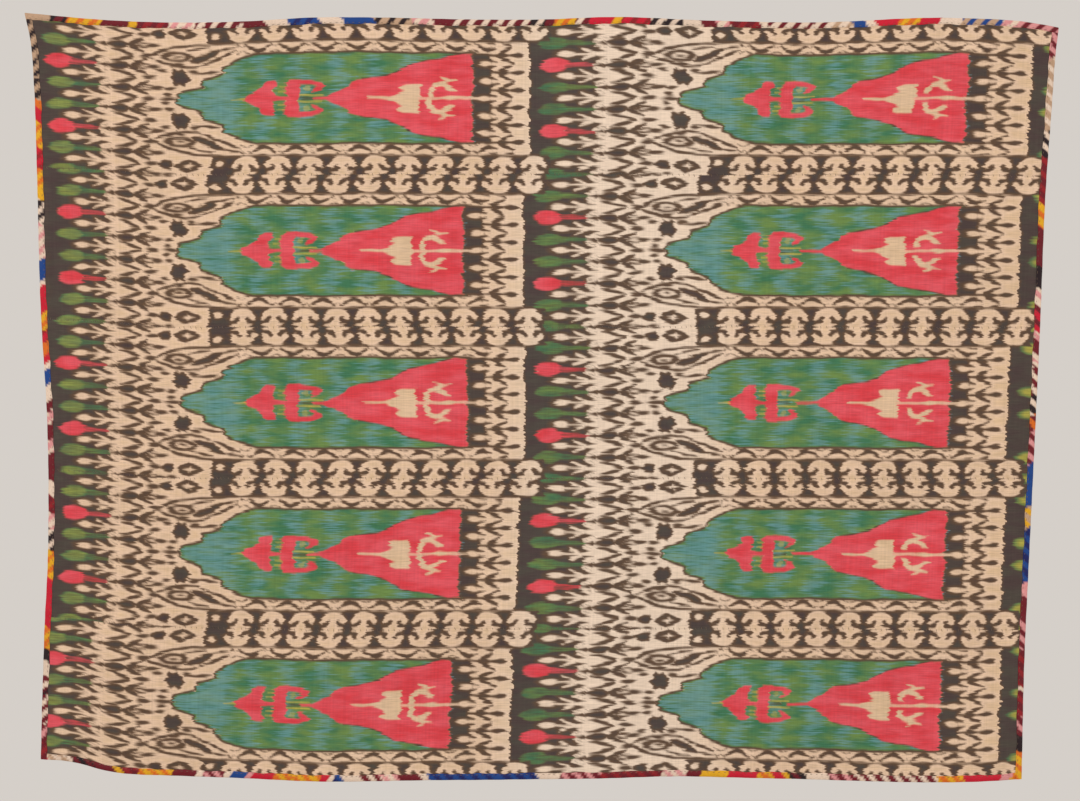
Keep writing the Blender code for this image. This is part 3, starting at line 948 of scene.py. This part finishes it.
def makeDyeEdgeGroup():
    # A dye's field, frayed by the threads' noise, most where the edge crosses the warp, and made a soft mask
    tree, given, out = newGroup(
        "dyeEdge",
        {"Field": 0.0, "Thread": 0.5, "Bundle": 0.5, "Ends": 1.0, "Fray": 5.0, "Soft": 1.4},
        ("Mask",),
    )
    noise = addMath(tree, "ADD", given["Thread"], addMath(tree, "MULTIPLY", given["Bundle"], 0.8))
    shift = addMath(tree, "MULTIPLY", addMath(tree, "SUBTRACT", noise, 0.9), given["Fray"])
    shift = addMath(tree, "MULTIPLY", shift, addMath(tree, "MULTIPLY_ADD", given["Ends"], 0.75, 0.25))
    field = addMath(tree, "ADD", given["Field"], shift)
    low = addMath(tree, "MULTIPLY", given["Soft"], -1.0)
    fill(tree, out, {"Mask": addRange(tree, field, low, given["Soft"], interpolation_type="SMOOTHSTEP")})
    return tree


def makeAgeGroup():
    # Years of light and dust: slow patches and thread-by-thread differences lighten and darken a colour
    tree, given, out = newGroup(
        "age",
        {"Vector": None, "Color": (0.5, 0.5, 0.5, 1), "Thread": 0.5, "Patches": 0.16, "Threads": 0.6},
        ("Color",), "Color",
    )
    slow = addMath(tree, "SUBTRACT", addNoise(tree, given["Vector"], 5.0, 3.0), 0.5)
    slowPart = addMath(tree, "MULTIPLY", slow, given["Patches"])
    threadPart = addMath(tree, "MULTIPLY", addMath(tree, "SUBTRACT", given["Thread"], 0.5), given["Threads"])
    factor = addMath(tree, "ADD", addMath(tree, "ADD", slowPart, threadPart), 1.0)
    shade = addNode(tree, "ShaderNodeVectorMath", {0: given["Color"], 3: factor}, operation="SCALE")
    fill(tree, out, {"Color": shade.outputs[0]})
    return tree


threadGroup, dyeEdgeGroup, ageGroup = makeThreadGroup(), makeDyeEdgeGroup(), makeAgeGroup()


def startMaterial(name, values):
    # A material, its node tree and its shader, with fixed values on the shader's sockets
    material = bpy.data.materials.new(name)
    material.use_nodes = True
    shader = material.node_tree.nodes["Principled BSDF"]
    fill(material.node_tree, shader, values)
    return material, material.node_tree, shader


def finishMaterial(tree, shader, colour, height, strength, depth):
    bump = addNode(tree, "ShaderNodeBump", {"Strength": strength, "Distance": depth, "Height": height})
    fill(tree, shader, {"Base Color": colour, "Normal": bump.outputs[0]})


cloth = {
    "tan": (225, 192, 155),
    "blossom": (238, 205, 177),
    "pale": (246, 226, 206),
    "charcoal": (60, 56, 51),
    "aubergine": (56, 40, 44),
    "umber": (88, 60, 36),
    "green": (62, 120, 84),
    "leaf": (110, 142, 74),
    "teal": (112, 160, 172),
    "red": (222, 62, 72),
    "rose": (232, 88, 100),
    "gold": (196, 180, 74),
    "blush": (240, 170, 150),
    "shader": {"Roughness": 0.78, "Specular IOR Level": 0.3, "Sheen Weight": 0.18, "Sheen Roughness": 0.5},
    "bare": (-9.0, -2.0),  # millimetres from a dark mark over which tan turns to blossom
    "thin": (1.0, 6.5),  # and inside one, over which umber turns to the full dark
    "nearShare": 0.65,
    "toneShare": 0.35,
    "faded": 0.75,
    "grain": 0.8,
    "frayed": {  # each dye's fray and softness in millimetres, and its strength, in the order they are laid
        "dark": (11.0, 2.0, 0.96),
        "green": (12.0, 2.4, 1.0),
        "blue": (42.0, 3.0, 0.62),
        "red": (12.0, 2.2, 1.0),
        "yellow": (3.0, 1.5, 0.8),
        "blush": (3.0, 1.5, 0.5),
    },
}


def makeClothMaterial():
    material, tree, shader = startMaterial("ikatSilkCotton", cloth["shader"])
    flat = addNode(tree, "ShaderNodeUVMap", uv_map="threads").outputs[0]
    threads = placeGroup(tree, threadGroup, {"Vector": flat})
    tone = threads["Tone"]

    def ink(name, second=None):
        # One colour, or two that the tone of the threads mixes
        first = paintColour(*cloth[name])
        return addMix(tree, tone, first, paintColour(*cloth[second])) if second else first

    def number(name):
        return addNode(tree, "ShaderNodeAttribute", attribute_name=name).outputs["Fac"]

    # Deep inside the bare cloth it is tan, and between close marks blossom; thin marks are umber
    dark, ends = number("dark"), number("ends")
    near = addMath(tree, "MULTIPLY", addRange(tree, dark, *cloth["bare"]), cloth["nearShare"])
    factor = addMath(tree, "ADD", near, addMath(tree, "MULTIPLY", tone, cloth["toneShare"]))
    colour = addMix(tree, factor, ink("tan"), ink("blossom"))
    colour = addMix(tree, addMath(tree, "MULTIPLY", number("pale"), cloth["faded"]), colour, ink("pale"))
    brown = addMix(tree, addRange(tree, dark, *cloth["thin"]), ink("umber"), ink("charcoal", "aubergine"))
    inks = {"dark": brown, "green": ink("green", "leaf"), "blue": ink("teal"), "red": ink("red", "rose"),
            "yellow": ink("gold"), "blush": ink("blush")}
    for dye, (fray, soft, strength) in cloth["frayed"].items():
        given = {"Field": number(dye), "Thread": threads["Thread"], "Bundle": threads["Bundle"], "Ends": ends,
                 "Fray": fray, "Soft": soft}
        mask = placeGroup(tree, dyeEdgeGroup, given)["Mask"]
        colour = addMix(tree, addMath(tree, "MULTIPLY", mask, strength), colour, inks[dye])
    given = {"Vector": flat, "Color": colour, "Thread": threads["Grain"], "Threads": cloth["grain"]}
    colour = placeGroup(tree, ageGroup, given)["Color"]
    finishMaterial(tree, shader, colour, threads["Height"], 0.35, 0.0003)
    return material


def makeBindingMaterial():
    silky = {**cloth["shader"], "Roughness": 0.62, "Sheen Weight": 0.1}
    material, tree, shader = startMaterial("bindingSilk", silky)
    flat = addNode(tree, "ShaderNodeUVMap", uv_map="threads").outputs[0]
    given = {"Vector": flat, "Streaks per metre": 160.0, "Ribs per metre": 640.0}
    threads = placeGroup(tree, threadGroup, given)
    dyed = addNode(tree, "ShaderNodeAttribute", attribute_name="patchDye").outputs["Color"]
    given = {"Vector": flat, "Color": dyed, "Thread": threads["Thread"], "Patches": 0.5, "Threads": 0.5}
    colour = placeGroup(tree, ageGroup, given)["Color"]
    finishMaterial(tree, shader, colour, threads["Height"], 0.4, 0.0004)
    return material


def makeThreadMaterial():
    material, tree, shader = startMaterial("sewingThread", {"Roughness": 0.7})
    spot = addNode(tree, "ShaderNodeTexCoord").outputs["Object"]
    worn = addNoise(tree, spot, 60.0, 2.0)
    colour = addMix(tree, worn, paintColour(150, 124, 100), paintColour(98, 80, 68))
    finishMaterial(tree, shader, colour, addNoise(tree, spot, 2600.0, 2.0), 0.3, 0.0002)
    return material


# Build

clothMaterial = makeClothMaterial()
bindingMaterial = makeBindingMaterial()
threadMaterial = makeThreadMaterial()
print("materials made")

for number, width in enumerate(hanging["loomWidths"], start=1):
    panel = makePanel(number)
    panel.data.materials.append(clothMaterial)
    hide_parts(f"panel_{number}")
    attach(panel, "root")
    print("loom width", number, "woven:", len(panel.data.polygons), "faces")

beside = hanging["bindingWidth"] + hanging["gap"]
for name, start, end, turn, outward in (
    ("top", 0.0, hanging["cutLength"], 0.4, False),
    ("bottom", beside, hanging["cutLength"] - beside, 1.9, True),
    ("left", beside, drop, 3.1, True),
    ("right", beside, drop, 4.6, False),
):
    strip = makeBinding(name, start, end, turn, outward)
    strip.data.materials.append(bindingMaterial)
    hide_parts(f"binding_{name}")
    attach(strip, "root")
print("edges bound")

for sewing in makeSewing():
    sewing.data.materials.append(threadMaterial)
    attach(sewing, "root")
print("seams and bindings stitched")


# Floor, light and camera

studio = {
    "floorZ": -2.60,
    "floorHalf": 6.0,
    "floor": {"Base Color": (0.55, 0.54, 0.52, 1), "Roughness": 0.9},
    "air": {"Color": (0.64, 0.60, 0.56, 1), "Strength": 1.04},
    "lights": {  # place, what it faces, size and power
        "windowLight": ((-2.6, -4.2, 1.2), (0.1, 0, -0.8), 3.2, 70),
        "fillLight": ((3.0, -4.4, -0.2), (0, 0, -0.8), 3.2, 40),
        "backLight": ((0.5, 4.5, 1.0), (0, 0, -0.8), 3.2, 60),
    },
    "lens": 85.0,
    "sensor": 36.0,
    "frameWidth": 2.160,  # metres of the cloth's plane across the picture
    "lookX": -0.003,
    "lookZ": -0.761,
}


def makeStudio():
    scene = bpy.context.scene
    half, z = studio["floorHalf"], studio["floorZ"]
    corners = np.array([[-half, -half, z], [half, -half, z], [half, half, z], [-half, half, z]])
    floor = makeMesh("floor", corners, [(0, 1, 2, 3)], smooth=False)
    floor.data.materials.append(startMaterial("paleFloor", studio["floor"])[0])
    scene.world = bpy.data.worlds.new("studioAir")
    scene.world.use_nodes = True
    fill(scene.world.node_tree, scene.world.node_tree.nodes["Background"], studio["air"])
    for name, (spot, aim, size, power) in studio["lights"].items():
        lamp = bpy.data.lights.new(name, "AREA")
        lamp.size, lamp.energy = size, power
        light = bpy.data.objects.new(name, lamp)
        light.location = spot
        light.rotation_euler = (Vector(aim) - Vector(spot)).to_track_quat("-Z", "Y").to_euler()
        scene.collection.objects.link(light)
    camera = bpy.data.objects.new("camera", bpy.data.cameras.new("camera"))
    camera.data.lens = studio["lens"]
    camera.data.sensor_width = studio["sensor"]
    away = studio["frameWidth"] * studio["lens"] / studio["sensor"]
    camera.location = (studio["lookX"], -away, studio["lookZ"])
    camera.rotation_euler = (math.pi / 2, 0, 0)
    scene.collection.objects.link(camera)
    scene.camera = camera
    scene.view_settings.view_transform = "Standard"


makeStudio()
print("studio set")
